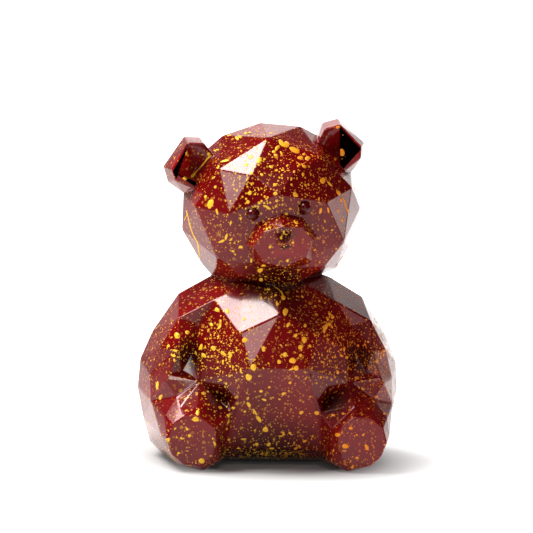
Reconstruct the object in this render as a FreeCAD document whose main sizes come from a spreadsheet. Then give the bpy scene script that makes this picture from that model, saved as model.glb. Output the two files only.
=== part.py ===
import FreeCAD, Part
import math
import os

# Sitting faceted bear figure, about 145 mm tall, moulded as two half shells.
# Frame: millimetres, +Z up, the bear faces -Y, the floor is Z = 0.
# The two shells meet on one upright plane that runs round the outline of ears,
# head, shoulders, arms and legs. Everything is laid out with that plane at
# Y = 0; the finished pieces are then moved so that the origin is under the
# middle of the whole figure. The head is tilted, and the tilt is moulded in.

V = FreeCAD.Vector

# Driving dimensions: (alias, value, note)
DIMENSIONS = [
    ("head_tilt", 8.0, "head tilt towards the bear's right shoulder, degrees"),
    ("head_pivot", 99.0, "height of the point the head is tilted about"),
    ("eye_radius", 2.35, "radius of the glossy eye bead"),
    ("eye_spread", 10.9, "eye centre to the middle of the face"),
    ("eye_level", 8.5, "eye centre above the head pivot"),
    ("eye_depth", 34.8, "eye centre in front of the parting plane"),
    ("eye_peg_radius", 0.8, "radius of the peg behind each eye"),
    ("eye_peg_length", 5.0, "length of the peg from the bead's centre"),
    ("press_gap", 0.04, "gap left round each eye bead and its peg"),
    ("boss_radius", 3.4, "radius of the locating bosses"),
    ("boss_length", 8.0, "length of the locating bosses"),
    ("peg_radius", 1.6, "radius of the locating pegs"),
    ("peg_reach", 4.5, "how far each peg stands out of the back shell"),
    ("socket_gap", 0.1, "radial and end gap round each locating peg"),
    ("bead_half_width", 1.5, "half the width of the bonding bead"),
    ("bead_thickness", 1.6, "thickness of the bonding bead"),
    ("parting_y", 3.0, "parting plane behind the middle of the overall depth"),
]

# Outer skin of the body. Each point is (distance from the middle, Y, Z); the
# facets are given for the half at negative X, corners anticlockwise seen from
# outside, and the other half is their mirror image.
BODY_POINTS = {
    # parting line, from the neck down to the floor
    "neck": (24.5, 0, 78), "shoulder": (39.2, 0, 69.5), "upper_arm": (50, 0, 53.2),
    "elbow": (54.9, 0, 41.5), "hip": (55.8, 0, 29.3), "thigh": (53, 0, 15.6),
    "haunch": (50, 0, 6), "seat": (44, 0, 0),
    # inside the head
    "neck_top": (0, 0, 84), "neck_front": (0, -6, 82), "neck_back": (0, 18, 79),
    # chest and belly
    "collar": (13, -19, 76), "collar_mid": (0, -28.5, 73.5), "chest_side": (25.3, -21, 69.2),
    "chest_mid": (0, -37.5, 65), "rib": (16, -36, 57), "flank": (28.8, -28, 50.3),
    "belly_top": (11.8, -40, 42.6), "groin": (31.5, -27, 35.7),
    "belly_low": (20, -29, 7.8), "belly_edge": (20, -24, 3.5), "belly_floor": (22, -14, 0),
    # arms
    "arm_top": (40.6, -20.5, 61), "armpit": (32.5, -20, 58.5), "arm_out": (47.6, -18, 48.6),
    "arm_ridge": (40.4, -27.5, 49.2), "wrist_out": (51.3, -13.4, 36.2),
    "wrist_in": (44.4, -27, 38.2), "hand": (45.6, -28, 36), "hand_low": (51, -19, 26),
    "cleft_top": (34.5, -21, 47), "cleft_low": (38.8, -24.5, 39.7),
    # legs
    "knee_out": (41, -30, 29.5), "knee_in": (18.5, -35, 24), "lap_side": (21.3, -33, 34.7),
    "lap_mid": (16.9, -35.5, 29), "lap_deep": (24, -27, 28),
    "foot_a": (23, -38, 18), "foot_b": (32.3, -37, 27.2), "foot_c": (40, -36.5, 26.2),
    "foot_d": (46.3, -35, 22.3), "foot_e": (47.6, -35, 14.5), "foot_f": (45, -35, 7.5),
    "foot_g": (39.8, -36, 2), "foot_h": (30, -37.5, 0), "foot_i": (23, -37.5, 4.2),
    # back
    "back_shoulder": (25, 21, 69), "back_arm": (40, 17, 58), "back_elbow": (47.5, 15, 43),
    "back_hip": (50.5, 14, 27), "back_haunch": (47, 22, 11), "back_seat": (38, 24, 0),
    "blade": (22, 33, 50), "loin": (27, 34, 28),
    "spine_a": (0, 27, 70), "spine_b": (0, 35, 54), "spine_c": (0, 38, 34),
    "spine_d": (0, 34, 12), "spine_e": (0, 27, 0),
}

BODY_FACETS = [
    "neck shoulder chest_side", "neck chest_side collar", "neck collar neck_front",
    "collar collar_mid neck_front", "neck neck_front neck_top",
    "shoulder upper_arm arm_top", "shoulder arm_top chest_side",
    "upper_arm arm_out arm_top", "upper_arm elbow arm_out", "elbow wrist_out arm_out",
    "elbow hip wrist_out", "hip hand_low wrist_out", "hip thigh hand_low",
    "thigh foot_e hand_low", "foot_e foot_d hand_low", "thigh haunch foot_e",
    "haunch foot_f foot_e", "haunch seat foot_f", "seat foot_g foot_f",
    "seat foot_h foot_g", "seat belly_floor foot_h", "foot_h belly_floor foot_i",
    "belly_floor belly_edge foot_i", "belly_edge belly_low foot_i",
    "belly_low knee_in foot_a", "belly_low foot_a foot_i", "knee_in foot_b foot_a",
    "knee_in groin foot_b", "groin knee_out foot_c", "groin foot_c foot_b",
    "knee_out foot_d foot_c", "hand_low foot_d knee_out", "hand_low knee_out hand",
    "hand_low hand wrist_out", "hand knee_out groin", "wrist_in hand groin",
    "wrist_in groin cleft_low", "cleft_low groin cleft_top", "wrist_out hand wrist_in",
    "wrist_out wrist_in arm_ridge", "wrist_out arm_ridge arm_out",
    "arm_out arm_ridge arm_top", "arm_top arm_ridge armpit", "arm_top armpit chest_side",
    "arm_ridge cleft_top armpit", "arm_ridge cleft_low cleft_top",
    "arm_ridge wrist_in cleft_low", "armpit cleft_top flank", "cleft_top groin flank",
    "chest_side armpit flank", "chest_side flank rib", "rib flank belly_top",
    "flank groin belly_top", "collar chest_side rib", "collar rib chest_mid",
    "collar chest_mid collar_mid", "rib belly_top chest_mid",
    "belly_top groin lap_side", "belly_top lap_side lap_mid", "belly_top lap_mid knee_in",
    "belly_top knee_in belly_low", "groin lap_deep lap_side", "lap_side lap_deep lap_mid",
    "lap_mid lap_deep knee_in", "groin knee_in lap_deep",
    "neck_top neck_back neck", "neck_back spine_a back_shoulder",
    "neck_back back_shoulder neck", "neck back_shoulder shoulder",
    "shoulder back_shoulder back_arm", "shoulder back_arm upper_arm",
    "upper_arm back_arm back_elbow", "upper_arm back_elbow elbow",
    "elbow back_elbow back_hip", "elbow back_hip hip", "hip back_hip thigh",
    "thigh back_hip back_haunch", "thigh back_haunch haunch", "haunch back_haunch seat",
    "seat back_haunch back_seat", "spine_a spine_b blade", "spine_a blade back_shoulder",
    "back_shoulder blade back_arm", "back_arm blade back_elbow", "back_elbow blade loin",
    "back_elbow loin back_hip", "spine_b spine_c loin", "spine_b loin blade",
    "back_hip loin back_haunch", "spine_c spine_d loin", "loin spine_d back_seat",
    "loin back_seat back_haunch", "spine_d spine_e back_seat",
]

# Facets that cross the middle; "-" marks the corner at negative X, "+" its mirror.
BODY_MIDDLE = [
    "chest_mid belly_top- belly_top+",
    "belly_top- belly_low- belly_low+ belly_top+",
    "belly_low- belly_edge- belly_edge+ belly_low+",
    "belly_edge- belly_floor- belly_floor+ belly_edge+",
    "belly_floor- seat- seat+ belly_floor+",
    "seat- back_seat- spine_e back_seat+ seat+",
]

# Flat round sole of each foot, and the bevel from it to the foot's edge.
SOLE_POINTS = {
    "sole_a": (26, -42, 19), "sole_b": (32, -42, 23.5), "sole_c": (38.8, -42, 23.3),
    "sole_d": (43.6, -42, 19.6), "sole_e": (45.4, -42, 13.3), "sole_f": (43.2, -42, 7.2),
    "sole_g": (38.4, -42, 3.4), "sole_h": (32.2, -42, 2.7), "sole_i": (27, -42, 6),
    "sole_j": (25.2, -42, 12.5),
}

SOLE_FACETS = [
    "foot_b foot_c sole_c sole_b", "foot_c foot_d sole_d sole_c",
    "foot_d foot_e sole_e sole_d", "foot_e foot_f sole_f sole_e",
    "foot_f foot_g sole_g sole_f", "foot_g foot_h sole_h sole_g",
    "foot_h foot_i sole_i sole_h", "foot_i foot_a sole_j sole_i",
    "foot_a sole_a sole_j", "foot_a foot_b sole_b sole_a",
    "sole_a sole_b sole_c sole_d sole_e sole_f sole_g sole_h sole_i sole_j",
]

# Outer skin of the head, upright, with Z counted from the tilt pivot.
HEAD_POINTS = {
    # parting line
    "crown": (0, 0, 44), "crown_side": (16.7, 0, 40.5), "ear_root": (25.5, 0, 34.5),
    "ear_foot": (36, 0, 18.3), "cheek": (38.4, 0, 2.9), "jowl": (31.5, 0, -13),
    "nape_side": (25.5, 0, -21.4), "neck_hole": (0, 0, -28),
    # face
    "forehead": (0, -23, 38.2), "temple": (21.7, -24.5, 28), "brow_in": (9.4, -34, 24.4),
    "brow_out": (20.1, -32, 9.7), "bridge": (0, -39, 15.5), "cheekbone": (33, -20, 13.6),
    "jaw": (26.7, -24, -8.4), "under_jaw": (17.3, -23, -18), "lip_side": (14.2, -29, -11.5),
    "chin": (0, -31, -16), "throat": (0, -20, -26),
    # back of the head
    "back_crown": (0, 22, 38), "back_temple": (21, 21, 27), "back_mid": (0, 34, 22),
    "back_cheek": (32, 17, 11), "back_side": (19, 31, 4), "back_jaw": (25, 21, -11),
    "back_low": (0, 32, -12), "back_neck": (16, 22, -22), "back_throat": (0, 18, -27),
}

HEAD_FACETS = [
    "crown crown_side forehead", "crown_side temple forehead", "crown_side ear_root temple",
    "ear_root ear_foot temple", "ear_foot cheekbone temple", "forehead temple brow_in",
    "temple brow_out brow_in", "brow_in brow_out bridge", "temple cheekbone brow_out",
    "ear_foot cheek cheekbone", "cheek jaw cheekbone", "cheek jowl jaw",
    "jowl nape_side jaw", "nape_side under_jaw jaw", "jaw under_jaw lip_side",
    "cheekbone jaw brow_out", "brow_out jaw lip_side", "brow_out lip_side bridge",
    "bridge lip_side chin", "lip_side under_jaw chin", "under_jaw throat chin",
    "under_jaw nape_side neck_hole", "under_jaw neck_hole throat",
    "crown back_crown crown_side", "crown_side back_crown back_temple",
    "crown_side back_temple ear_root", "ear_root back_temple ear_foot",
    "ear_foot back_temple back_cheek", "ear_foot back_cheek cheek",
    "cheek back_cheek back_jaw", "cheek back_jaw jowl", "jowl back_jaw nape_side",
    "nape_side back_jaw back_neck", "back_crown back_mid back_temple",
    "back_temple back_mid back_side", "back_temple back_side back_cheek",
    "back_cheek back_side back_jaw", "back_mid back_low back_side",
    "back_side back_low back_jaw", "back_jaw back_low back_neck",
    "back_neck back_low back_throat", "nape_side back_neck neck_hole",
    "back_neck back_throat neck_hole",
]

HEAD_MIDDLE = ["forehead brow_in- brow_in+", "brow_in- bridge brow_in+"]

# Muzzle outline where it leaves the face, and its sloping flat front:
# (distance from the middle, Z), from the top down.
MUZZLE_ROOT = [(0, 8), (9.6, 4.3), (14.8, -3.8), (11.6, -14.3), (0, -18.3)]
MUZZLE_ROOT_Y = [-35.5, -34.3, -31.6, -28.6, -27]
MUZZLE_FRONT = [(0, 2.7), (8.2, 1.4), (12.4, -4.6), (9, -11.8), (0, -15)]
MUZZLE_TOP_Y = -44.0
MUZZLE_SLOPE = 0.554
MUZZLE_INNER_Y = -15.0

# Nose: a small wedge on the sloping muzzle, its front leaning back a little.
NOSE_FRONT = [(-3.9, 0.9), (-2.4, -3.4), (0, -4.6), (2.4, -3.4), (3.9, 0.9)]
NOSE_BASE = [(-4.2, 1.1), (-2.6, -3.7), (0, -5), (2.6, -3.7), (4.2, 1.1)]
NOSE_FRONT_Y = -43.3
NOSE_LEAN = 0.24   # how far the front leans back per mm of height
NOSE_BASE_Y = -38.0

# Ear outline (distance from the middle, Z) at the parting plane and at the
# front and back rims, then the opening and the deepest point of the hollow.
EAR_MIDDLE = [(26.3, 41), (33, 42), (43.1, 30.6), (42, 23.7), (36, 18.3), (20, 28)]
EAR_RIM = [(25.6, 38.6), (32.3, 39.6), (40.2, 29.5), (39.4, 24.7), (31.2, 19.6), (19, 28)]
EAR_FRONT_Y = -10.5
EAR_BACK_Y = 9.0
HOLLOW = [(27.6, 36.9), (31.8, 38.1), (39.2, 28.5), (31.2, 21.6), (23.6, 31.2)]
HOLLOW_DEEP = (29.8, -3.5, 28)
HOLLOW_OUT = 2.0

# Inside of the shells: contour rings (distance from the middle, Z) at set Y.
BODY_RINGS = [
    (-34, [(0, 58), (5, 57), (8, 54), (11, 50), (12, 46), (10, 41), (7, 38), (5, 36), (3, 35),
           (0, 35)]),
    (-28.5, [(0, 62), (7, 61), (12, 58), (17, 51), (19, 44), (14, 37), (12, 30), (11, 24), (9, 20),
             (0, 19)]),
    (-19, [(0, 68), (10, 68), (19, 64.5), (26, 57), (28.5, 47), (31, 37), (42, 24), (43, 15), (38, 8),
           (0, 5.5)]),
    (-11, [(0, 74), (15, 72.5), (35, 61.5), (44, 48.5), (47.4, 37), (48.6, 27), (47, 16), (43.5, 8.5),
           (36, 3.6), (0, 3.6)]),
    (0, [(0, 80), (21.5, 74.5), (36.8, 66.2), (46.8, 51.6), (51.5, 40.8), (52.4, 29), (49.8, 16.6),
         (46.4, 7.8), (41.5, 3.2), (0, 3.2)]),
    (10, [(0, 75), (19.5, 70), (34.5, 59.5), (43.5, 47), (46.8, 38), (48.2, 27.5), (46.6, 15),
          (43.6, 9), (36.5, 3.5), (0, 3.5)]),
    (19, [(0, 69), (14, 66), (22, 60), (30, 52), (35, 42), (38, 29), (38, 17), (34, 9), (28, 4.5),
          (0, 4.5)]),
    (29, [(0, 55), (6, 54), (11, 51), (15, 46), (18, 38), (19, 30), (15, 23), (10, 17), (5, 14),
          (0, 13)]),
]

HEAD_RINGS = [
    (-31.5, [(0, 19), (3, 18), (5.5, 15), (6, 10), (5, 4), (4, -1), (2, -4), (0, -5)]),
    (-25, [(0, 29.5), (6, 27.5), (11, 22), (17, 11), (17.5, 3), (15, -4.5), (10, -9), (0, -11)]),
    (-14, [(0, 36), (11, 33.5), (18.5, 27), (28.5, 13.5), (28.5, 1), (24, -8), (17, -15.5), (0, -21)]),
    (0, [(0, 40.8), (15.7, 37.6), (23.5, 32), (33, 17.5), (35.2, 3), (29, -11.5), (22.6, -18.6),
         (0, -25)]),
    (12, [(0, 36.5), (11, 33.5), (18.5, 27), (29, 13), (29, 2), (25, -9.5), (18, -16), (0, -21)]),
    (22, [(0, 30), (8, 28), (14, 22), (21, 10), (21.5, 0), (18, -8), (12, -13), (0, -15)]),
    (29, [(0, 21), (4, 20), (6, 16), (8, 10), (7, 3), (5, -3), (3, -6), (0, -7)]),
]

# Locating pegs on the parting plane: (X, Z).
PEG_SPOTS = [(-47.8, 24), (47.8, 24), (-39.2, 57), (39.2, 57)]
CROWN_PEG = (0, 37.2)


def planar(points):
    """True when all the points lie on one plane."""
    normal = (points[1] - points[0]).cross(points[2] - points[0])
    normal.normalize()
    return all(abs((p - points[0]).dot(normal)) < 1e-6 for p in points[3:])


def facet_faces(points):
    """One flat face, or a fan of triangles if the corners are not coplanar."""
    if planar(points):
        return [Part.Face(Part.makePolygon(points + [points[0]]))]
    faces = []
    for first, second in zip(points[1:-1], points[2:]):
        faces.append(Part.Face(Part.makePolygon([points[0], first, second, points[0]])))
    return faces


def solid_from(corner_lists):
    """Closed solid from a list of corner lists."""
    faces = []
    for corners in corner_lists:
        faces.extend(facet_faces(corners))
    shell = Part.makeShell(faces)
    shell.sewShape()
    solid = Part.makeSolid(shell)
    if solid.Volume < 0:
        solid.reverse()
    return solid


def mirrored_skin(points, half_facets, middle_facets):
    """Corner lists of a skin that is symmetric about the plane X = 0."""
    def at(name, sign):
        x, y, z = points[name.rstrip("-+")]
        return V(sign * x, y, z)

    corner_lists = []
    for text in half_facets:
        names = text.split()
        corner_lists.append([at(name, -1) for name in names])
        corner_lists.append([at(name, 1) for name in reversed(names)])
    for text in middle_facets:
        names = text.split()
        corner_lists.append([at(name, 1 if name.endswith("+") else -1) for name in names])
    return corner_lists


def ring_solid(rings):
    """Closed solid through matching rings of points, front ring first."""
    corner_lists = [rings[0], list(reversed(rings[-1]))]
    count = len(rings[0])
    for near, far in zip(rings[:-1], rings[1:]):
        for i in range(count):
            j = (i + 1) % count
            corner_lists.append([near[i], far[i], far[j], near[j]])
    return solid_from(corner_lists)


def full_loop(half):
    """Whole outline, anticlockwise from the front, from its half."""
    left = [(-x, z) for x, z in half]
    right = [(x, z) for x, z in reversed(half) if x > 0]
    return left + right


def hollow_solid(rings):
    """Inside of a shell from its half contour rings."""
    return ring_solid([[V(x, y, z) for x, z in full_loop(half)] for y, half in rings])


def body_skin():
    points = dict(BODY_POINTS)
    points.update(SOLE_POINTS)
    return solid_from(mirrored_skin(points, BODY_FACETS + SOLE_FACETS, BODY_MIDDLE))


def muzzle_solid():
    root = full_loop(MUZZLE_ROOT)
    root_y = MUZZLE_ROOT_Y + list(reversed(MUZZLE_ROOT_Y[1:-1]))
    front = full_loop(MUZZLE_FRONT)
    top = MUZZLE_FRONT[0][1]
    rings = [
        [V(x, MUZZLE_TOP_Y + MUZZLE_SLOPE * (top - z), z) for x, z in front],
        [V(x, y, z) for (x, z), y in zip(root, root_y)],
        [V(x, MUZZLE_INNER_Y, z) for x, z in root],
    ]
    return ring_solid(rings)


def nose_solid():
    front = [V(x, NOSE_FRONT_Y + NOSE_LEAN * (z + 2), z) for x, z in NOSE_FRONT]
    base = [V(x, NOSE_BASE_Y, z) for x, z in NOSE_BASE]
    return ring_solid([front, base])


def ear_solid():
    """The ear at negative X, with its pyramid-shaped hollow."""
    block = ring_solid([
        [V(-x, EAR_FRONT_Y, z) for x, z in EAR_RIM],
        [V(-x, 0, z) for x, z in EAR_MIDDLE],
        [V(-x, EAR_BACK_Y, z) for x, z in EAR_RIM],
    ])
    deep = V(-HOLLOW_DEEP[0], HOLLOW_DEEP[1], HOLLOW_DEEP[2])
    mouth = []
    for x, z in HOLLOW:
        rim = V(-x, EAR_FRONT_Y, z)
        mouth.append(deep + (rim - deep) * HOLLOW_OUT)
    walls = [mouth]
    for near, far in zip(mouth, mouth[1:] + mouth[:1]):
        walls.append([near, deep, far])
    return block.cut(solid_from(walls))


def tilt_placement(sheet):
    """Carries the upright head to its tilted place on the body."""
    turn = FreeCAD.Rotation(V(0, 1, 0), -float(sheet.head_tilt))
    return FreeCAD.Placement(V(0, 0, float(sheet.head_pivot)), turn)


def head_skin(tilt):
    upright = solid_from(mirrored_skin(HEAD_POINTS, HEAD_FACETS, HEAD_MIDDLE))
    ear = ear_solid()
    other_ear = ear.mirror(V(0, 0, 0), V(1, 0, 0))
    upright = upright.fuse([muzzle_solid(), nose_solid(), ear, other_ear])
    return upright.transformed(tilt.toMatrix())


def head_hollow(tilt):
    return hollow_solid(HEAD_RINGS).transformed(tilt.toMatrix())


def seam_loop(tilt, inset):
    """Face bounded by the inner edge of the shells at the parting plane."""
    faces = []
    for rings, matrix in ((BODY_RINGS, FreeCAD.Matrix()), (HEAD_RINGS, tilt.toMatrix())):
        half = [ring for y, ring in rings if y == 0][0]
        loop = [matrix.multiply(V(x, 0, z)) for x, z in full_loop(half)]
        faces.append(Part.Face(Part.makePolygon(loop + [loop[0]])))
    joined = faces[0].fuse(faces[1]).removeSplitter().Faces[0]
    return joined.makeOffset2D(-inset, 2)


def add_feature(doc, label, shape):
    feature = doc.addObject("Part::Feature", label)
    feature.Shape = shape
    feature.Label = label
    return feature


def add_rod(doc, label, radius, height, base, direction):
    """Part cylinder whose size follows the sheet."""
    rod = doc.addObject("Part::Cylinder", label)
    rod.Label = label
    rod.setExpression("Radius", radius)
    rod.setExpression("Height", height)
    rod.Placement = FreeCAD.Placement(base, FreeCAD.Rotation(V(0, 0, 1), direction))
    return rod


def add_join(doc, label, shapes):
    join = doc.addObject("Part::MultiFuse", label)
    join.Label = label
    join.Shapes = shapes
    return join


def add_cut(doc, label, base, tool):
    cut = doc.addObject("Part::Cut", label)
    cut.Label = label
    cut.Base = base
    cut.Tool = tool
    return cut


def build_sheet(doc):
    sheet = doc.addObject("Spreadsheet::Sheet", "sizes")
    sheet.Label = "sizes"
    for row, (alias, value, note) in enumerate(DIMENSIONS, start=1):
        sheet.set("A%d" % row, note)
        sheet.set("B%d" % row, str(value))
        sheet.setAlias("B%d" % row, alias)
    doc.recompute()
    return sheet


def build_skins(doc, sheet):
    """Front and back blanks: outer skin less the inside, parted at Y = 0."""
    tilt = tilt_placement(sheet)
    skin = body_skin().fuse(head_skin(tilt)).removeSplitter()
    inside = hollow_solid(BODY_RINGS).fuse(head_hollow(tilt))
    wall = skin.cut(inside)
    front_half = Part.makeBox(200, 100, 220, V(-100, -100, -10))
    back_half = Part.makeBox(200, 100, 220, V(-100, 0, -10))
    front = add_feature(doc, "front_blank", wall.common(front_half))
    back = add_feature(doc, "back_blank", wall.common(back_half))
    return front, back, inside


def peg_places(sheet):
    tilt = tilt_placement(sheet)
    places = [V(x, 0, z) for x, z in PEG_SPOTS]
    places.append(tilt.multVec(V(CROWN_PEG[0], 0, CROWN_PEG[1])))
    return places


def build_locators(doc, sheet):
    """Bosses in both shells, pegs on the back one, sockets in the front one."""
    front_bosses, back_bosses, pegs, sockets = [], [], [], []
    depth = float(sheet.boss_length)
    for number, spot in enumerate(peg_places(sheet), start=1):
        front_bosses.append(add_rod(doc, "front_boss_%d" % number, "sizes.boss_radius",
                                    "sizes.boss_length", spot, V(0, -1, 0)))
        back_bosses.append(add_rod(doc, "back_boss_%d" % number, "sizes.boss_radius",
                                   "sizes.boss_length", spot, V(0, 1, 0)))
        pegs.append(add_rod(doc, "peg_%d" % number, "sizes.peg_radius",
                            "sizes.boss_length + sizes.peg_reach", spot + V(0, depth, 0),
                            V(0, -1, 0)))
        sockets.append(add_rod(doc, "socket_%d" % number, "sizes.peg_radius + sizes.socket_gap",
                               "sizes.peg_reach + sizes.socket_gap", spot, V(0, -1, 0)))
    return front_bosses, back_bosses, pegs, sockets


def build_eye(doc, sheet, label, side, gap):
    """Glossy bead with a peg behind it; a gap makes it the tool for its seat."""
    tilt = tilt_placement(sheet)
    centre = V(side * float(sheet.eye_spread), -float(sheet.eye_depth), float(sheet.eye_level))
    centre = tilt.multVec(centre)
    inward = tilt.Rotation.multVec(V(-side * 0.356, 0.916, 0.186))
    bead = doc.addObject("Part::Sphere", label + "_bead")
    bead.Label = label + "_bead"
    bead.setExpression("Radius", "sizes.eye_radius + " + gap)
    bead.Placement = FreeCAD.Placement(centre, FreeCAD.Rotation())
    peg = add_rod(doc, label + "_peg", "sizes.eye_peg_radius + " + gap,
                  "sizes.eye_peg_length + " + gap, centre, inward)
    return add_join(doc, label, [bead, peg])


def build_bead(doc, sheet, inside, bosses):
    """Bonding bead laid along the inside of the seam, clear of the bosses."""
    tilt = tilt_placement(sheet)
    half = float(sheet.bead_half_width)
    slab = Part.makeBox(200, 2 * half, 220, V(-100, -half, -10))
    open_loop = seam_loop(tilt, float(sheet.bead_thickness))
    open_loop.translate(V(0, -10, 0))
    middle = open_loop.extrude(V(0, 20, 0))
    ring = add_feature(doc, "bead_ring", inside.common(slab).cut(middle))
    return add_cut(doc, "seam_bead", ring, bosses)


def build(doc):
    sheet = build_sheet(doc)
    front, back, inside = build_skins(doc, sheet)
    front_bosses, back_bosses, pegs, sockets = build_locators(doc, sheet)
    eyes = [build_eye(doc, sheet, "eye_right", -1, "0"),
            build_eye(doc, sheet, "eye_left", 1, "0")]
    seats = [build_eye(doc, sheet, "seat_right", -1, "sizes.press_gap"),
             build_eye(doc, sheet, "seat_left", 1, "sizes.press_gap")]
    front_full = add_join(doc, "front_full", [front] + front_bosses)
    holes = add_join(doc, "front_holes", sockets + seats)
    front_shell = add_cut(doc, "front_shell", front_full, holes)
    back_shell = add_join(doc, "back_shell", [back] + back_bosses + pegs)
    all_bosses = add_join(doc, "all_bosses", front_bosses + back_bosses)
    seam_bead = build_bead(doc, sheet, inside, all_bosses)
    nodes = [front_shell, back_shell, seam_bead] + eyes
    for node in nodes:
        node.setExpression("Placement.Base.y", "sizes.parting_y")
    doc.recompute()
    return nodes


def check(doc, nodes):
    for item in doc.Objects:
        bad = [word for word in item.State if word in ("Invalid", "Error")]
        if bad:
            raise RuntimeError("%s is %s" % (item.Label, bad))
    for node in nodes:
        if node.Shape.isNull() or not node.Shape.isValid():
            raise RuntimeError("%s has no valid shape" % node.Label)


def export(nodes):
    os.makedirs("parts", exist_ok=True)
    for node in nodes:
        node.Shape.exportStep("parts/%s.step" % node.Label)


document = FreeCAD.newDocument("bear")
parts = build(document)
check(document, parts)
export(parts)
for part in parts:
    box = part.Shape.BoundBox
    print(part.Label, len(part.Shape.Solids), "solids, volume", round(part.Shape.Volume), "mm3",
          [round(v, 1) for v in (box.XMin, box.YMin, box.ZMin, box.XMax, box.YMax, box.ZMax)])
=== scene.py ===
"""A faceted sitting bear figurine, gloss burgundy with gold spatter, on a pale studio floor."""

import math
import random

import bmesh
import bpy
from mathutils import Matrix, Vector
from mathutils.bvhtree import BVHTree


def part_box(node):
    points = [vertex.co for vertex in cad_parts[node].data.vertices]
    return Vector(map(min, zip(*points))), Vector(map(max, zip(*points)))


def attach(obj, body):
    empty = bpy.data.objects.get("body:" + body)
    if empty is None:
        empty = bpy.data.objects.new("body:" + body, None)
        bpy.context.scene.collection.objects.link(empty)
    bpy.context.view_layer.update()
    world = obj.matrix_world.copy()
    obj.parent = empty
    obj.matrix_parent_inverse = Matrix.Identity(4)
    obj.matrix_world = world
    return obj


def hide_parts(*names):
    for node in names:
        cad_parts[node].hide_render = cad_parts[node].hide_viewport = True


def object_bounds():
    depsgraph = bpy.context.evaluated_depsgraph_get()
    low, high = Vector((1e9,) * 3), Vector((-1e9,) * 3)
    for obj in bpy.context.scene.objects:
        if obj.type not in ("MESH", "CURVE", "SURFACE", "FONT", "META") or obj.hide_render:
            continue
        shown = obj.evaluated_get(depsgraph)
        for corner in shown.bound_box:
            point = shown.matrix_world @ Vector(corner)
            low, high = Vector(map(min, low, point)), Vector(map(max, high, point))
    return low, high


MM = 0.001
PARTING_Y = 3.0 * MM      # plane where the two halves meet
EDGE_RADIUS = 0.60 * MM   # soft edges left by the mould
SEAM_RADIUS = 0.42 * MM   # the two halves' lips at the joint
FLAT_ANGLE = 2.5          # degrees; shallower edges stay sharp
SLIVER = 0.10 * MM        # facet edges shorter than this are closed up
LOOK_AT = Vector((-2.0, 3.0, 81.5)) * MM

# The head's own frame: its middle, in mm, and its tilt to the figure's right shoulder.
HEAD_Y, HEAD_Z = 3.0, 99.0
HEAD_TILT = math.radians(8.0)
# The muzzle's front leans back downwards: its upper edge, in the head's frame in mm, and its slope.
MUZZLE_Y, MUZZLE_Z, MUZZLE_SLOPE = -44.0, 2.7, 0.554
MOUTH = [(-1.8, -5.9), (-0.5, -6.3), (1.2, -6.2), (3.0, -5.5)]   # across, up in the head's frame, mm

# Places on the figure and how far the effect reaches, mm: painted shade, painted light in the ear hollows,
# and where the gold mist lies thicker.
# painted shade: the base turns near black in the crease under the chin, beside the arms, in the lap, under
# the belly, in the mouth groove and on the nose
PAINTED_SHADE_SPOTS = [((0, -22, 78), 17), ((36, -22, 46), 9), ((-36, -22, 46), 9), ((23, -29, 28), 9),
          ((-23, -29, 28), 9), ((0, -20, 3), 24), ((0.4, -36, 92.6), 1.5), ((2.6, -36.2, 93.2), 1.5),
          ((0.8, -40, 98), 4.5)]
# painted light: a brighter red in the ear hollows, which the lamps leave dark
EAR_HOLLOW_PAINTED_LIGHT = [((-39, -8, 123), 7), ((29, -8, 133), 9)]
MISTY = [((-23, -30, 46), 20), ((24, -30, 50), 26), ((44, -18, 42), 20), ((0, -30, 3), 17),
         ((-4, -26, 122), 24)]

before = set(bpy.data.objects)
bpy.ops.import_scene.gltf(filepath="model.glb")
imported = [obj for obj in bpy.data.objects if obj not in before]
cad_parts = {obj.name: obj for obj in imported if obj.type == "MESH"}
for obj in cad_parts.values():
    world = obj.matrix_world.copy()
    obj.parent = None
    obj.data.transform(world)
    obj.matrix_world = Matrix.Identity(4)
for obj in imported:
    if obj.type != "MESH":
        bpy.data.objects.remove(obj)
box_at_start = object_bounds()
rng = random.Random(20)


# ---------------------------------------------------------------- node helpers

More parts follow.
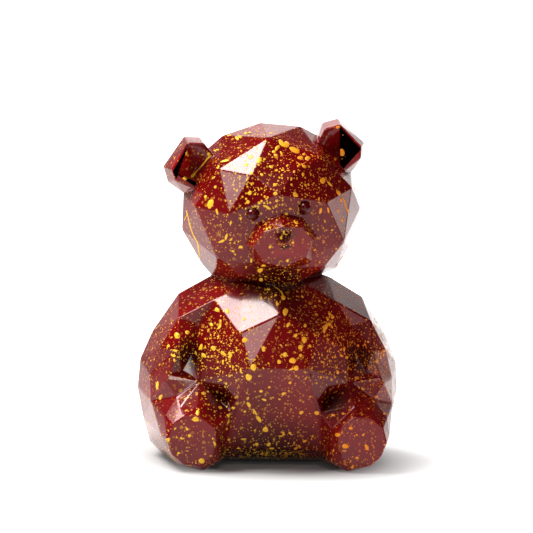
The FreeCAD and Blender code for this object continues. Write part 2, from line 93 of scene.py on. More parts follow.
class Nodes:
    """Short ways to wire a procedural material."""

    def __init__(self, name):
        self.material = bpy.data.materials.new(name)
        self.material.use_nodes = True
        self.tree = self.material.node_tree
        self.shader = self.tree.nodes["Principled BSDF"]
        self.place = self.tree.nodes.new("ShaderNodeTexCoord").outputs["Object"]

    def add(self, kind, **settings):
        node = self.tree.nodes.new(kind)
        for key, value in settings.items():
            setattr(node, key, value)
        return node

    def join(self, source, target):
        if hasattr(source, "is_output"):
            self.tree.links.new(source, target)
        else:
            target.default_value = source

    def math(self, operation, a, b=0.0, clamp=False):
        node = self.add("ShaderNodeMath", operation=operation, use_clamp=clamp)
        self.join(a, node.inputs[0])
        self.join(b, node.inputs[1])
        return node.outputs[0]

    def ramp(self, value, low, high, start=0.0, end=1.0):
        node = self.add("ShaderNodeMapRange")
        for socket, amount in zip(node.inputs, (value, low, high, start, end)):
            self.join(amount, socket)
        return node.outputs[0]

    def noise(self, scale, detail=2.0, rough=0.5):
        node = self.add("ShaderNodeTexNoise")
        self.join(self.place, node.inputs["Vector"])
        node.inputs["Scale"].default_value = scale
        node.inputs["Detail"].default_value = detail
        node.inputs["Roughness"].default_value = rough
        return node.outputs["Fac"]

    def mix(self, factor, a, b):
        node = self.add("ShaderNodeMix", data_type="RGBA")
        self.join(factor, node.inputs[0])
        self.join(a, node.inputs[6])
        self.join(b, node.inputs[7])
        return node.outputs[2]

    def spot(self, centre, radius):
        """1 at a place on the figure, fading to 0 at the radius."""
        node = self.add("ShaderNodeVectorMath", operation="DISTANCE")
        self.join(self.place, node.inputs[0])
        node.inputs[1].default_value = Vector(centre) * MM
        return self.ramp(node.outputs["Value"], radius * 0.35 * MM, radius * MM, 1.0, 0.0)

    def spots(self, operation, places):
        """Several spots put together."""
        total = self.spot(*places[0])
        for place in places[1:]:
            total = self.math(operation, total, self.spot(*place))
        return total

    def flecks(self, scale, largest, power):
        """Round specks of random size: 1 inside a speck."""
        node = self.add("ShaderNodeTexVoronoi")
        self.join(self.place, node.inputs["Vector"])
        node.inputs["Scale"].default_value = scale
        split = self.add("ShaderNodeSeparateColor")
        self.join(node.outputs["Color"], split.inputs[0])
        size = self.math("POWER", split.outputs[0], power)
        size = self.math("MULTIPLY", size, largest)
        inside = self.math("SUBTRACT", size, node.outputs["Distance"])
        return self.math("MULTIPLY", inside, 14.0, clamp=True)

    def bump(self, height, distance, strength=1.0, onto=None):
        node = self.add("ShaderNodeBump")
        node.inputs["Strength"].default_value = strength
        node.inputs["Distance"].default_value = distance
        self.join(height, node.inputs["Height"])
        if onto is not None:
            self.join(onto, node.inputs["Normal"])
        return node.outputs["Normal"]

    def finish(self, **sockets):
        for name, value in sockets.items():
            self.join(value, self.shader.inputs[name.replace("_", " ")])
        return self.material


def gold_tone(n):
    """Gold paint with uneven pigment, yellow on the lit side and turning orange towards the figure's left
    hand as painted shade.
    """
    split = n.add("ShaderNodeSeparateXYZ")
    n.join(n.place, split.inputs[0])
    # painted shade: the gold turns from yellow to orange towards the figure's left hand, the side away from
    # the key light
    side = n.ramp(split.outputs["X"], -0.012, 0.03)
    uneven = n.math("ADD", side, n.math("MULTIPLY", n.noise(180.0), 0.5))
    uneven = n.math("SUBTRACT", uneven, 0.25, clamp=True)
    return n.mix(uneven, (1.0, 0.64, 0.050, 1.0), (1.0, 0.33, 0.014, 1.0))


def lacquer():
    """Burgundy gloss with a fine gold mist sprayed over it, painted shade in its recesses, painted light in
    its ear hollows and painted highlights along its ridges.
    """
    n = Nodes("burgundy_gloss")
    depth = n.ramp(n.noise(38.0, 3.0), 0.35, 0.68)
    red = n.mix(depth, (0.150, 0.0020, 0.0036, 1.0), (0.240, 0.0034, 0.0056, 1.0))
    geometry = n.add("ShaderNodeNewGeometry")
    # painted highlight: a lighter red where the surface turns sharply outward, along ridges and edges
    edge = n.ramp(geometry.outputs["Pointiness"], 0.51, 0.60, 0.0, 0.45)
    red = n.mix(edge, red, (0.36, 0.022, 0.024, 1.0))
    # painted shade: near-black base at the shaded places
    painted_shade = n.math("MULTIPLY", n.spots("MAXIMUM", PAINTED_SHADE_SPOTS), 0.8)
    red = n.mix(painted_shade, red, (0.022, 0.0006, 0.0008, 1.0))
    # painted light: brighter red in the ear hollows
    red = n.mix(n.spots("MAXIMUM", EAR_HOLLOW_PAINTED_LIGHT), red, (0.42, 0.008, 0.010, 1.0))
    # the mist: patchy all over, thicker in places
    patches = n.ramp(n.noise(55.0, 2.0), 0.40, 0.62, 0.25, 1.0)
    cover = n.math("ADD", n.math("MULTIPLY", n.spots("ADD", MISTY), 0.8), 0.45)
    cover = n.math("MULTIPLY", cover, patches)
    specks = n.math("MAXIMUM", n.flecks(820.0, 0.50, 1.7), n.flecks(430.0, 0.40, 3.0))
    mist = n.math("MULTIPLY", specks, cover, clamp=True)
    colour = n.mix(mist, red, gold_tone(n))
    smear = n.noise(90.0, 4.0, 0.6)
    rough = n.ramp(smear, 0.3, 0.75, 0.16, 0.30)
    rough = n.math("ADD", rough, n.math("MULTIPLY", mist, 0.2))
    peel = n.bump(n.noise(620.0, 2.0), 0.00001, 0.5)
    waves = n.bump(n.noise(95.0, 1.0), 0.00012, 0.55, onto=peel)
    normal = n.bump(mist, 0.00004, 0.6, onto=waves)
    n.shader.inputs["IOR"].default_value = 1.48
    n.shader.inputs["Specular IOR Level"].default_value = 0.34
    n.shader.inputs["Coat Weight"].default_value = 0.45
    n.shader.inputs["Coat Roughness"].default_value = 0.06
    return n.finish(Base_Color=colour, Roughness=rough, Normal=normal)


def gold_paint():
    """The spatter itself: opaque, slightly metallic paint standing proud of the gloss."""
    n = Nodes("gold_paint")
    grain = n.noise(900.0, 3.0)
    colour = n.mix(n.math("MULTIPLY", grain, 0.25), gold_tone(n), (0.80, 0.30, 0.015, 1.0))
    n.shader.inputs["Metallic"].default_value = 0.10
    n.shader.inputs["Specular IOR Level"].default_value = 0.5
    return n.finish(Base_Color=colour, Roughness=n.ramp(grain, 0.2, 0.8, 0.30, 0.50),
                    Normal=n.bump(grain, 0.00003, 0.5))


def eye_gloss():
    """Deep garnet beads, clearer and shinier than the body."""
    n = Nodes("eye_gloss")
    cloud = n.noise(420.0, 3.0)
    colour = n.mix(cloud, (0.060, 0.0010, 0.0014, 1.0), (0.150, 0.0026, 0.0034, 1.0))
    n.shader.inputs["Specular IOR Level"].default_value = 0.25
    n.shader.inputs["Coat Weight"].default_value = 0.45
    n.shader.inputs["Coat Roughness"].default_value = 0.03
    return n.finish(Base_Color=colour, Roughness=n.ramp(cloud, 0.2, 0.8, 0.10, 0.22),
                    Normal=n.bump(n.noise(1500.0), 0.000006, 0.4))


def glue():
    """Dried adhesive in the joint."""
    n = Nodes("joint_adhesive")
    lumps = n.noise(260.0, 4.0)
    colour = n.mix(lumps, (0.055, 0.004, 0.005, 1.0), (0.16, 0.020, 0.018, 1.0))
    return n.finish(Base_Color=colour, Roughness=n.ramp(lumps, 0.2, 0.8, 0.5, 0.8),
                    Normal=n.bump(lumps, 0.0001, 0.6))


def paper():
    """Seamless white sheet with a faint fibre texture, with a painted glow that rises away from the figure.
    """
    n = Nodes("seamless_paper")
    fibre = n.noise(700.0, 5.0, 0.6)
    colour = n.mix(fibre, (0.34, 0.34, 0.342, 1.0), (0.38, 0.38, 0.378, 1.0))
    length = n.add("ShaderNodeVectorMath", operation="LENGTH")
    n.join(n.place, length.inputs[0])
    split = n.add("ShaderNodeSeparateXYZ")
    n.join(n.place, split.inputs[0])
    across, back = split.outputs["X"], split.outputs["Y"]
    # painted glow: dark under the figure, bright from 78 mm out, dimmer far to either side
    painted_glow = n.ramp(length.outputs["Value"], 0.038, 0.078, 0.02, 0.84)
    painted_glow = n.math("MULTIPLY", painted_glow, n.ramp(across, -0.52, -0.20, 0.38, 1.0))
    painted_glow = n.math("MULTIPLY", painted_glow, n.ramp(across, 0.45, 0.65, 1.0, 0.30))
    # painted glow, brighter still on the wall behind, between its two sides
    sides = n.math("MULTIPLY", n.ramp(across, -0.50, -0.22), n.ramp(across, 1.15, 0.80))
    behind = n.math("MULTIPLY", n.ramp(back, 0.25, 0.8, 0.0, 0.50), sides)
    n.shader.inputs["Emission Color"].default_value = (1.0, 0.995, 0.99, 1.0)
    return n.finish(Base_Color=colour, Roughness=n.ramp(fibre, 0.2, 0.8, 0.75, 0.95),
                    Emission_Strength=n.math("ADD", painted_glow, behind),
                    Normal=n.bump(fibre, 0.00003, 0.3))


# ---------------------------------------------------------------- the two halves

def clean_half(node):
    """The half's own facets, slivers closed up and the triangles of each flat face joined."""
    bm = bmesh.new()
    bm.from_mesh(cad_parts[node].data)
    bmesh.ops.remove_doubles(bm, verts=bm.verts, dist=SLIVER)
    bmesh.ops.dissolve_limit(bm, angle_limit=math.radians(0.8), verts=bm.verts, edges=bm.edges)
    bm.normal_update()
    return bm


def is_parting(face):
    return abs(face.normal.y) > 0.995 and abs(face.calc_center_median().y - PARTING_Y) < 0.1 * MM


def outside_faces(bm, front):
    """Faces that can be touched from outside, found by spreading from the outermost one."""
    sign = 1.0 if front else -1.0
    seed = min(bm.faces, key=lambda f: sign * f.calc_center_median().y)
    found, todo = {seed}, [seed]
    while todo:
        for edge in todo.pop().edges:
            for face in edge.link_faces:
                if face not in found and not is_parting(face):
                    found.add(face)
                    todo.append(face)
    return found


def weigh_edges(bm, outside):
    """How much of the full edge radius each outside edge takes; short edges nearby mean less."""
    weight = bm.edges.layers.float.new("bevel_weight_edge")
    for edge in bm.edges:
        if len(edge.link_faces) != 2:
            continue
        outer = [f in outside for f in edge.link_faces]
        angle = math.degrees(edge.calc_face_angle(0.0))
        if not any(outer) or angle < FLAT_ANGLE:
            continue
        if not all(outer):
            edge[weight] = SEAM_RADIUS / EDGE_RADIUS
            continue
        shortest = min(e.calc_length() for v in edge.verts for e in v.link_edges)
        edge[weight] = min(1.0, max(0.10, 0.42 * shortest / EDGE_RADIUS))


def link(name, mesh, material):
    obj = bpy.data.objects.new(name, mesh)
    bpy.context.scene.collection.objects.link(obj)
    mesh.materials.clear()
    mesh.materials.append(material)
    return obj


def finished_mesh(obj):
    """The object's mesh with its modifiers worked in."""
    graph = bpy.context.evaluated_depsgraph_get()
    return bpy.data.meshes.new_from_object(obj.evaluated_get(graph))


def cut_away(obj, bm):
    """Takes the closed solid in bm out of the object's mesh."""
    bmesh.ops.recalc_face_normals(bm, faces=bm.faces)
    mesh = bpy.data.meshes.new("cutter")
    bm.to_mesh(mesh)
    bm.free()
    cutter = bpy.data.objects.new("cutter", mesh)
    bpy.context.scene.collection.objects.link(cutter)
    cut = obj.modifiers.new("cut", "BOOLEAN")
    cut.object = cutter
    cut.operation = "DIFFERENCE"
    cut.solver = "EXACT"
    obj.data = finished_mesh(obj)
    obj.modifiers.clear()
    bpy.data.objects.remove(cutter)


def cut_socket(obj, node):
    """The shallow dish that shows as a dark ring round an eye."""
    centre, radius, _ = eye_place(node)
    dish = radius * 1.17
    turns = [math.radians(-90 + 15 * k) for k in range(13)]
    bm = bmesh.new()
    lathe(bm, [(dish * math.cos(a), dish * math.sin(a)) for a in turns], centre, Vector((0, -1, 0)), 20)
    cut_away(obj, bm)


def cut_mouth(obj):
    """A short, slightly bent groove, wedge-shaped in section, in the muzzle under the nose."""
    bm = bmesh.new()
    rings = []
    for k, (x, z) in enumerate(MOUTH):
        half = 0.36 if 0 < k < len(MOUTH) - 1 else 0.10
        skin = MUZZLE_Y + MUZZLE_SLOPE * (MUZZLE_Z - z)
        wedge = ((1.6 * half, skin - 1.0), (-1.6 * half, skin - 1.0), (0.0, skin + 1.5 * half))
        ring = []
        for dz, y in wedge:
            local = Vector((x, 0.0, z + dz))
            wx = local.x * math.cos(HEAD_TILT) - local.z * math.sin(HEAD_TILT)
            wz = HEAD_Z + local.x * math.sin(HEAD_TILT) + local.z * math.cos(HEAD_TILT)
            ring.append(bm.verts.new(Vector((wx, y + HEAD_Y, wz)) * MM))
        rings.append(ring)
    for a, b in zip(rings, rings[1:]):
        for i in range(3):
            bm.faces.new((a[i], a[(i + 1) % 3], b[(i + 1) % 3], b[i]))
    bm.faces.new(rings[0][::-1])
    bm.faces.new(rings[-1])
    cut_away(obj, bm)


def build_half(name, node, front, material):
    bm = clean_half(node)
    mesh = bpy.data.meshes.new(name)
    bm.to_mesh(mesh)
    bm.free()
    obj = link(name, mesh, material)
    if front:
        cut_mouth(obj)
        for eye in ("eye_right", "eye_left"):
            cut_socket(obj, eye)
    bm = bmesh.new()
    bm.from_mesh(obj.data)
    weigh_edges(bm, outside_faces(bm, front))
    bm.to_mesh(obj.data)
    bm.free()
    soft = obj.modifiers.new("soft_edges", "BEVEL")
    soft.limit_method = "WEIGHT"
    soft.width = EDGE_RADIUS
    soft.segments = 3
    soft.use_clamp_overlap = False
    soft.loop_slide = True
    soft.miter_outer = "MITER_SHARP"
    mesh = finished_mesh(obj)
    obj.modifiers.clear()
    obj.data = mesh
    for polygon in mesh.polygons:
        polygon.use_smooth = True
    even = obj.modifiers.new("flat_facets", "WEIGHTED_NORMAL")
    even.mode = "FACE_AREA"
    even.weight = 50
    even.keep_sharp = True
    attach(obj, "root")
    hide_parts(node)
    return obj


# ---------------------------------------------------------------- eyes

def eye_place(node):
    """Centre of the bead, its radius, and how far its peg reaches back."""
    low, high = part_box(node)
    radius = (high.x - low.x) / 2
    centre = Vector(((low.x + high.x) / 2, low.y + radius, (low.z + high.z) / 2))
    return centre, radius, high.y - centre.y


def lathe(bm, profile, centre, axis, segments=28):
    """Turns (radius, along) pairs about an axis into a closed solid."""
    turn = axis.to_track_quat("Z", "Y").to_matrix()
    rings = []
    for radius, along in profile:
        if radius < 1e-9:
            rings.append([bm.verts.new(centre + turn @ Vector((0, 0, along)))])
            continue
        steps = [2 * math.pi * k / segments for k in range(segments)]
        ring = [Vector((radius * math.cos(a), radius * math.sin(a), along)) for a in steps]
        rings.append([bm.verts.new(centre + turn @ point) for point in ring])
    for a, b in zip(rings, rings[1:]):
        for k in range(segments):
            j = (k + 1) % segments
            if len(a) == 1:
                bm.faces.new((a[0], b[k], b[j]))
            elif len(b) == 1:
                bm.faces.new((a[k], a[j], b[0]))
            else:
                bm.faces.new((a[k], a[j], b[j], b[k]))
    bmesh.ops.recalc_face_normals(bm, faces=bm.faces)


def build_eye(node, material):
    """A bead with a low waist where it seats, a domed face and its short peg behind."""
    centre, radius, peg = eye_place(node)
    profile = [(0.0, peg), (0.30 * radius, peg), (0.34 * radius, 0.55 * radius)]
    profile = [(r, -along) for r, along in profile]
    for k in range(13):
        a = math.radians(-48 + 138 * k / 12)
        profile.append((radius * math.cos(a) if k < 12 else 0.0, radius * math.sin(a) * 0.985))
    bm = bmesh.new()
    lathe(bm, profile, centre, Vector((0, -1, 0)))
    mesh = bpy.data.meshes.new(node + "_bead")
    bm.to_mesh(mesh)
    bm.free()
    for polygon in mesh.polygons:
        polygon.use_smooth = True
    obj = link(node + "_bead", mesh, material)
    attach(obj, "root")
    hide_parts(node)
    return obj


# ---------------------------------------------------------------- gold spatter
# Drops placed on the front: across, up, length, width in mm, lean in degrees.

FACE_DROPS = [
    (1.6, 134.8, 5.4, 2.9, -24), (5.9, 132.2, 4.6, 2.5, -16), (-1.6, 133, 2.6, 1.6, 50),
    (-3, 131.5, 1.8, 1.2, 20), (0, 131, 1.7, 1.0, -50), (8, 129.2, 2.6, 1.8, 10),
    (9.6, 130.6, 1.6, 1.0, 40), (11, 129, 2.3, 2.0, 0), (9.3, 125.8, 1.8, 1.5, 0),
    (8.6, 122.6, 1.8, 1.2, 80), (17.4, 120, 2.7, 2.5, 0), (20.6, 118.6, 3.2, 1.2, -48),
    (24.5, 115, 2.5, 1.8, -40), (25.8, 112, 2.1, 1.1, -70), (16.4, 107.8, 2.9, 1.2, 82),
    (19.8, 108, 2.6, 1.0, -75), (26.6, 103.5, 2.4, 0.9, -70), (5, 114.6, 2.1, 1.8, 80),
    (-3.2, 114.8, 1.9, 1.6, 0), (-3.3, 118.3, 1.6, 1.5, 0), (-13.3, 114.6, 2.0, 1.7, 20),
    (-28.6, 109.2, 3.9, 2.6, 72), (-26, 106.2, 2.8, 1.0, -80), (-16.3, 136.4, 2.9, 1.8, 22),
    (-12.2, 138.3, 3.3, 1.6, 4), (-19.6, 137, 2.0, 0.9, 18), (-12.6, 129, 2.3, 1.8, 10),
    (-9.4, 127.7, 2.3, 2.2, 0), (-14.4, 126, 1.6, 1.3, 0), (-12.7, 122.7, 1.5, 1.3, 0),
    (-8.5, 122.2, 1.4, 1.2, 0), (-4.5, 125.4, 1.7, 1.3, 0), (-22, 96, 3.0, 1.2, 75),
    (-23.7, 94, 2.8, 1.0, 30), (-16, 92, 1.7, 1.5, 0), (-19, 90, 1.3, 1.1, 0),
    (3.4, 108.6, 1.4, 1.1, 60), (15.5, 112.7, 1.5, 0.8, 80), (27.4, 131, 3.1, 3.0, 0),
    (25.3, 128.4, 1.8, 1.4, 30), (25.5, 141.6, 1.9, 1.2, 10), (12.3, 141, 3.6, 1.0, -14),
    (-38.3, 118.8, 2.2, 1.5, -20), (-34.8, 119.9, 2.4, 1.4, 20), (-28.6, 129.2, 1.6, 1.3, 40),
    (-25.3, 130.8, 2.5, 0.9, 22), (-22.7, 127, 4.2, 0.8, 16), (-25.6, 124.5, 1.7, 1.0, 60),
    (-30.5, 112, 1.6, 1.1, 60), (-16.5, 104, 1.5, 1.0, 80), (-20.5, 102, 2.0, 0.9, 80),
    (1.8, 106.5, 1.9, 1.1, -10), (5.3, 103.4, 2.3, 1.2, -35), (9.4, 102.2, 1.5, 1.1, 0),
    (-6, 100.8, 2.3, 1.4, 20), (2.8, 87.2, 1.5, 1.4, 0), (4.4, 95, 1.3, 1.1, 0), (0.3, 99, 1.1, 1.0, 0),
    (-4.9, 93, 1.3, 1.2, 0), (-7.5, 82.3, 2.3, 2.2, 0), (-6.6, 78, 2.0, 1.6, -40),
    (-11.5, 86.4, 2.0, 0.9, 85), (-6.8, 84.7, 2.0, 1.3, 0),
]
BODY_DROPS = [
    (2.6, 66, 2.8, 2.5, 70), (2.2, 71.4, 2.1, 1.9, 0), (-3.5, 74.5, 1.6, 1.3, 30),
    (-0.5, 69, 1.3, 1.1, 0), (-10.4, 43.4, 3.3, 2.4, 80), (-12.2, 39.1, 3.1, 2.7, 80),
    (0.1, 45.8, 1.9, 1.7, 0), (2.4, 48.8, 2.1, 2.0, 0), (5.6, 46.4, 2.8, 2.6, 0),
    (7.2, 43.3, 2.4, 2.1, 20), (5.2, 42.8, 2.2, 0.9, 14), (8.9, 48.6, 1.6, 1.3, 80),
    (9.2, 50.8, 1.5, 0.7, 84), (10.5, 55, 2.5, 2.2, 0), (6.8, 56.6, 1.9, 1.5, 20),
    (8.9, 52, 1.9, 1.7, 0), (10.9, 60.5, 1.6, 1.4, 0), (3.5, 60.8, 1.8, 1.4, 70),
    (20, 59.6, 3.2, 2.2, 35), (19.3, 58.2, 2.6, 1.3, 80), (21.6, 60.4, 1.8, 1.2, -30),
    (23.6, 63, 1.7, 1.3, 0), (21.2, 62.4, 1.3, 1.1, 0), (12.8, 52.3, 1.4, 1.2, 0),
    (10.5, 24.1, 1.9, 1.8, 0), (16.9, 24, 2.2, 2.0, 60), (-7, 21, 3.4, 1.8, -58),
    (-8.8, 24, 4.2, 0.9, -56), (-11.5, 27.2, 2.5, 1.6, -60), (-12, 30, 1.8, 0.7, 85),
    (-4, 16.4, 2.9, 2.3, -30), (5, 37, 1.5, 1.3, 0), (2.5, 32.2, 1.7, 1.5, 0),
    (-6.8, 33.2, 1.6, 1.4, 0), (-5.3, 29.5, 2.5, 1.0, -20), (-3.5, 35, 1.3, 1.0, 0),
    (6.3, 15, 1.4, 1.2, 0), (12.7, 11.4, 1.8, 1.1, 30), (-2.2, 9.8, 2.1, 1.7, 0),
    (-0.8, 8.1, 2.3, 1.0, 0), (-7.3, 9.9, 1.8, 1.5, -20), (-12.8, 12.1, 2.7, 0.9, 8),
    (-14.7, 8, 1.7, 0.8, 0), (-19, 11.8, 1.3, 1.1, 0), (2.6, 13.6, 2.2, 0.7, 0),
    (-41, 54.2, 2.7, 2.4, 0), (-36.7, 55.5, 2.1, 1.5, 20), (-42.7, 59, 1.6, 1.4, 0),
    (-41.3, 48, 2.9, 1.2, -10), (-44.4, 49.6, 1.3, 1.1, 0), (-42.3, 46, 1.4, 1.2, 0),
    (-47.3, 28.3, 2.5, 1.6, 70), (-48.7, 33, 3.1, 1.2, 85), (-24.7, 65.2, 2.1, 1.7, 0),
    (-20.6, 65, 2.0, 1.7, 0), (-14.1, 54.2, 2.3, 2.0, 0), (-6.4, 50.9, 2.3, 1.7, 80),
    (-27, 59.1, 1.6, 1.3, 0), (-26.2, 49.8, 2.3, 1.8, 80), (-22.2, 48, 2.8, 1.4, -35),
    (-31.2, 49.6, 3.0, 1.2, 62), (-30, 46.5, 2.4, 1.4, -50), (42.7, 45, 2.2, 2.0, 0),
    (46.7, 48.5, 1.6, 1.3, 0), (29.8, 46.5, 1.7, 1.5, 0), (39.8, 37, 1.5, 1.0, 70),
    (42.5, 30.2, 2.0, 1.0, -20), (-33.8, 22, 2.8, 2.4, 0), (-33, 24.5, 2.2, 1.6, 60),
    (-31, 4.8, 3.0, 2.1, -30), (-36.2, 15.3, 1.6, 1.4, 0), (-44.9, 13.4, 1.9, 1.6, 0),
    (-37.3, 18, 1.4, 1.2, 0), (-40.5, 8, 1.3, 1.1, 0), (28.2, 11.5, 2.7, 2.4, 0),
    (31.4, 2.8, 1.9, 1.5, 70), (33.2, 6.6, 1.5, 1.3, 0), (30.2, 19, 1.7, 1.4, 0),
    (35.5, 16.3, 1.4, 1.0, 30), (25, 16, 2.3, 1.7, 10), (23.3, 23.5, 1.5, 1.1, 0),
    (-19.8, 20, 2.6, 0.8, 62), (-20, 22.6, 2.2, 0.8, -46), (-17.9, 25.8, 1.6, 1.2, 0),
]
# Runs of paint: (across, up, width) along the run.
RUNS = [
    [(-37.2, 105, 0.8), (-35.8, 99.5, 1.5), (-34.2, 95, 1.2), (-32.3, 91.6, 1.7), (-31.6, 88.6, 1.2),
     (-30.4, 84.4, 0.6)],
    [(-36.8, 103.5, 0.7), (-37.8, 100.8, 0.5)],
    [(-34.6, 120.2, 0.9), (-32.6, 122.3, 0.8), (-30.5, 125, 0.7), (-28.8, 127.6, 0.8), (-27.4, 128.7, 0.5)],
    [(26.8, 112.6, 0.6), (27.9, 110.4, 1.0), (28.3, 108.6, 0.8), (29.3, 107.2, 1.1), (29.2, 105.6, 0.5)],
    [(2.6, 71, 0.7), (1.4, 73.6, 0.9), (-1.2, 75.4, 0.6)],
]
# Section of a run: share of its width to the side, height off the skin in mm.
RUN_SECTION = [(-0.5, -0.03), (-0.36, 0.07), (0.0, 0.11), (0.36, 0.07), (0.5, -0.03), (0.0, -0.09)]
# Where the spray lies thicker: across, up, spread across, spread up (mm), amount.
THICK = [
    (-23, 47, 11, 10, 2.6), (22, 54, 15, 16, 2.2), (44, 42, 8, 13, 2.2), (-2, 76, 12, 8, 1.6),
    (0, 5, 24, 3.2, 3.6), (-2, 124, 15, 14, 1.3), (1, 97, 11, 9, 2.0), (-21, 97, 8, 8, 0.9),
    (-16, 60, 9, 11, 1.2), (-44, 48, 7, 12, 0.8), (6, 50, 12, 10, 0.9), (-36, 14, 10, 11, 0.5),
    (33, 13, 10, 11, 0.6), (16, 118, 10, 8, 1.0), (0, 14, 16, 8, 0.6),
]
MOST_SPRAY = 3.6


def spray_amount(point):
    """How thickly the spray lies at a point; MOST_SPRAY and over takes every drop offered."""
    x, y, z = point / MM
    if y > 4.0:   # the back half, sprayed evenly
        return 0.34
    amount = 0.30 if y < -12 else 0.15
    for cx, cz, sx, sz, height in THICK:
        amount += height * math.exp(-((x - cx) / sx) ** 2 - ((z - cz) / sz) ** 2)
    return amount


def trace(points):
    """Samples a smooth path through (across, up, width) points."""
    out = []
    last = len(points) - 1
    for k in range(last):
        p0, p1 = points[max(k - 1, 0)], points[k]
        p2, p3 = points[k + 1], points[min(k + 2, last)]
        for step in range(6):
            t = step / 6
            out.append([0.5 * (2 * b + (c - a) * t + (2 * a - 5 * b + 4 * c - d) * t * t
                               + (3 * b - a - 3 * c + d) * t ** 3) for a, b, c, d in zip(p0, p1, p2, p3)])
    out.append(list(points[-1]))
    return out


class Spatter:
    """Gold paint drops laid on the skin as thin domed solids."""

    def __init__(self, halves):
        joined = bmesh.new()
        for half in halves:
            joined.from_mesh(half.data)
        self.skin = BVHTree.FromBMesh(joined)
        joined.free()
        self.bm = bmesh.new()
        low, high = box_at_start
        pad = Vector((0.02, 0.02, 0.02)) * MM
        self.low, self.high = low + pad, high - pad

    def vert(self, point):
        held = [min(max(point[i], self.low[i]), self.high[i]) for i in range(3)]
        return self.bm.verts.new(held)

    def seen_from_front(self, across, up):
        start = Vector((across * MM, -0.2, up * MM))
        spot, normal, _, _ = self.skin.ray_cast(start, Vector((0, 1, 0)))
        return (spot, normal) if spot is not None and spot.y < PARTING_Y else (None, None)

    def lay(self, spot, normal, out, flat):
        """The skin under a point of a drop's outline, straight back from the front or nearest."""
        if flat:
            near, facing, _, _ = self.skin.ray_cast(spot + out - Vector((0, 3 * MM, 0)), Vector((0, 1, 0)))
            # a hit much farther off is across a step in the skin
            if near is not None and (near - spot).length < 2.2 * out.length + 0.3 * MM:
                return near, facing
        near, facing, _, _ = self.skin.find_nearest(spot + out + normal * 0.1 * MM)
        return near, facing

    def drop(self, spot, normal, length, width, lean, flat=False):
        """One drop: uneven rim let into the skin, low rounded top."""
        along = Vector((math.cos(lean), 0, math.sin(lean)))
        across = Vector((-math.sin(lean), 0, math.cos(lean)))
        if not flat:
            along = (along - normal * along.dot(normal)).normalized()
            across = normal.cross(along)
        big = length > 1.25 * MM
        count = 14 if big else 7
        height = min(0.13 * MM, 0.10 * width + 0.02 * MM)
        phase, waver = rng.uniform(0, 6.3), 0.16 if big else 0.25
        rim, shoulder = [], []
        for k in range(count):
            a = 2 * math.pi * k / count
            lobes = 0.6 * math.sin(2 * a + phase) + 0.4 * math.sin(3 * a + 2 * phase)
            reach = 0.5 * (1 + waver * (lobes + rng.uniform(-0.35, 0.35)))
            out = along * (length * reach * math.cos(a)) + across * (width * reach * math.sin(a))
            for ring, scale, lift in ((rim, 1.0, -0.03 * MM), (shoulder, 0.80, 0.75 * height)):
                near, facing = self.lay(spot, normal, out * scale, flat)
                ring.append(self.vert(near + facing * lift))
        top = self.vert(spot + normal * height)
        under = self.vert(spot - normal * 0.09 * MM)
        for k in range(count):
            j = (k + 1) % count
            self.bm.faces.new((rim[k], rim[j], shoulder[j], shoulder[k]))
            self.bm.faces.new((shoulder[k], shoulder[j], top))
            self.bm.faces.new((rim[j], rim[k], under))

    def run(self, points):
        """A thin run of paint along a path."""
        rings = []
        samples = [(self.seen_from_front(x, z), w) for x, z, w in trace(points)]
        samples = [(s, n, w * MM) for (s, n), w in samples if s is not None]
        for k, (spot, normal, width) in enumerate(samples):
            ahead = samples[min(k + 1, len(samples) - 1)][0] - samples[max(k - 1, 0)][0]
            side = normal.cross(ahead).normalized()
            ring = []
            for share, lift in RUN_SECTION:
                near, facing, _, _ = self.skin.find_nearest(spot + side * share * width)
                ring.append(self.vert(near + facing * lift * MM))
            rings.append(ring)
        for a, b in zip(rings, rings[1:]):
            for k in range(6):
                j = (k + 1) % 6
                self.bm.faces.new((a[k], b[k], b[j], a[j]))
        self.bm.faces.new(rings[0])
        self.bm.faces.new(rings[-1][::-1])

    def scatter(self, halves, count, smallest, largest, power):
        """Random drops over the outside, thicker where the spray was thicker."""
        places = []
        for half, front in halves:
            for face in half.data.polygons:
                middle = face.center
                if face.area > 2e-8 and self.is_outside(middle, face.normal):
                    places.append((half.data, face, middle))
        weights = [f.area for _, f, _ in places]
        made = 0
        while made < count:
            mesh, face, _ = rng.choices(places, weights)[0]
            spot = self.point_on(mesh, face)
            if spot.z < 1.6 * MM or rng.random() > spray_amount(spot) / MOST_SPRAY:
                continue
            made += 1
            size = (smallest + (largest - smallest) * rng.random() ** power) * MM
            stretch = 1.0 + 1.1 * rng.random() ** 3
            self.drop(spot, face.normal.copy(), size * stretch, size, rng.uniform(0, math.pi))

    def is_outside(self, middle, normal):
        """True if nothing stands before the face's middle, straight out or a little to either side."""
        start = middle + normal * 0.02 * MM
        for lean in (Vector(), Vector((0.3, 0.1, 0.2)), -Vector((0.2, 0.1, 0.3))):
            if self.skin.ray_cast(start, (normal + lean).normalized())[0] is None:
                return True
        return False

    def point_on(self, mesh, face):
        """A random point on a flat face."""
        corners = [mesh.vertices[i].co for i in face.vertices]
        fans = [(corners[0], corners[k], corners[k + 1]) for k in range(1, len(corners) - 1)]
        areas = [(b - a).cross(c - a).length for a, b, c in fans]
        a, b, c = rng.choices(fans, areas)[0]
        u, v = rng.random(), rng.random()
        if u + v > 1:
            u, v = 1 - u, 1 - v
        return a + (b - a) * u + (c - a) * v

    def finish(self, material):
        bmesh.ops.recalc_face_normals(self.bm, faces=self.bm.faces)
        mesh = bpy.data.meshes.new("gold_spatter")
        self.bm.to_mesh(mesh)
        self.bm.free()
        for polygon in mesh.polygons:
            polygon.use_smooth = True
        obj = link("gold_spatter", mesh, material)
        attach(obj, "root")
        return obj


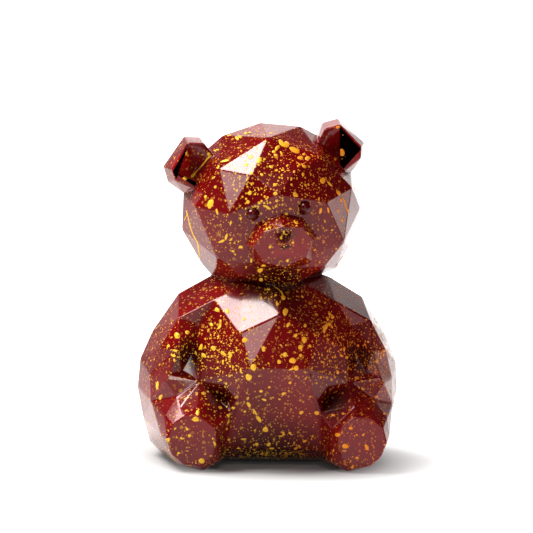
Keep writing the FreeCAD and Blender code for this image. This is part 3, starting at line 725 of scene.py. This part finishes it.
def build_spatter(front, back, material):
    spatter = Spatter([front, back])
    for across, up, length, width, lean in FACE_DROPS + BODY_DROPS:
        spot, normal = spatter.seen_from_front(across, up)
        if spot is not None:
            spatter.drop(spot, normal, length * MM, width * MM, math.radians(lean), flat=True)
    for points in RUNS:
        spatter.run(points)
    halves = [(front, True), (back, False)]
    spatter.scatter(halves, 230, 0.75, 1.6, 2.6)
    spatter.scatter(halves, 1500, 0.45, 0.80, 1.6)
    spatter.scatter(halves, 5200, 0.22, 0.46, 1.2)
    return spatter.finish(material)


# ---------------------------------------------------------------- studio

def build_backdrop(material):
    """One seamless sheet: flat under the figure, curving up behind it."""
    bm = bmesh.new()
    profile = [(-2.6, 0.0), (-1.0, 0.0), (-0.3, 0.0), (0.3, 0.0), (0.8, 0.0)]
    for k in range(1, 11):
        a = math.radians(9 * k)
        profile.append((0.8 + 0.6 * math.sin(a), 0.6 - 0.6 * math.cos(a)))
    profile.append((1.4, 1.05))
    columns = [-2.2, -0.9, -0.4, 0.0, 0.5, 1.4, 2.8]
    grid = [[bm.verts.new((x, y, z)) for x in columns] for y, z in profile]
    for a, b in zip(grid, grid[1:]):
        for k in range(len(columns) - 1):
            bm.faces.new((a[k], a[k + 1], b[k + 1], b[k]))
    mesh = bpy.data.meshes.new("backdrop")
    bm.to_mesh(mesh)
    bm.free()
    for polygon in mesh.polygons:
        polygon.use_smooth = True
    obj = link("backdrop", mesh, material)


def soft_light(name, toward, distance, width, height, brightness, slant=0):
    """A softbox that the figure sees at toward = (degrees round, degrees up), turned by slant."""
    data = bpy.data.lights.new(name, "AREA")
    data.shape = "RECTANGLE"
    data.size, data.size_y = width, height
    data.energy = brightness * math.pi * width * height
    data.color = (1.0, 0.985, 0.965)
    obj = bpy.data.objects.new(name, data)
    bpy.context.scene.collection.objects.link(obj)
    round_, up = (math.radians(a) for a in toward)
    aim = Vector((math.sin(round_) * math.cos(up), -math.cos(round_) * math.cos(up), math.sin(up)))
    obj.location = LOOK_AT + aim * distance
    turn = aim.to_track_quat("Z", "Y").to_matrix() @ Matrix.Rotation(math.radians(slant), 3, "Z")
    obj.rotation_euler = turn.to_euler()


def build_world():
    world = bpy.data.worlds.new("studio")
    bpy.context.scene.world = world
    world.use_nodes = True
    background = world.node_tree.nodes["Background"]
    background.inputs["Color"].default_value = (0.9, 0.92, 1.0, 1.0)
    background.inputs["Strength"].default_value = 0.035


CAMERA_DISTANCE = 1.0


def build_camera():
    """A long lens a little to the figure's right and just above its middle."""
    turn, rise, roll = math.radians(-6.0), math.radians(5.0), math.radians(1.5)
    back = Vector((math.sin(turn) * math.cos(rise), -math.cos(turn) * math.cos(rise), math.sin(rise)))
    right = (-back).cross(Vector((0, 0, 1))).normalized()
    up = right.cross(-back)
    right, up = right * math.cos(roll) + up * math.sin(roll), up * math.cos(roll) - right * math.sin(roll)
    data = bpy.data.cameras.new("camera")
    data.lens = 158.7
    data.sensor_width = 36.0
    data.clip_start, data.clip_end = 0.05, 20.0
    obj = bpy.data.objects.new("camera", data)
    bpy.context.scene.collection.objects.link(obj)
    turned = Matrix((right, up, back)).transposed().to_4x4()
    obj.matrix_world = Matrix.Translation(LOOK_AT + back * CAMERA_DISTANCE) @ turned
    bpy.context.scene.camera = obj


def build_studio():
    build_backdrop(paper())
    # direction given as degrees round from the front (minus = the figure's right) and degrees up
    soft_light("key", (-93, 60), 0.80, 0.43, 0.43, 15.0)
    soft_light("brow_card", (-66, 19), 1.2, 0.15, 0.15, 7.5)
    soft_light("front_card", (-14, 17), 1.3, 0.26, 0.14, 7.5)
    soft_light("cheek_card", (97, -1), 1.2, 0.22, 0.20, 3.6)
    soft_light("lap_strip", (3, 42), 1.3, 0.56, 0.10, 13.0, -46)
    soft_light("leg_card", (-123, 46), 1.2, 0.20, 0.17, 11.0)
    build_world()
    build_camera()
    view = bpy.context.scene.view_settings
    view.view_transform = "Standard"
    view.look = "None"
    view.exposure = 0.27
    view.gamma = 0.84


# ---------------------------------------------------------------- the figure

def main():
    burgundy = lacquer()
    front = build_half("front_half", "front_shell", True, burgundy)
    back = build_half("back_half", "back_shell", False, burgundy)
    garnet = eye_gloss()
    for node in ("eye_right", "eye_left"):
        build_eye(node, garnet)
    build_spatter(front, back, gold_paint())
    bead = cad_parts["seam_bead"]
    bead.data.materials.clear()
    bead.data.materials.append(glue())
    build_studio()


main()
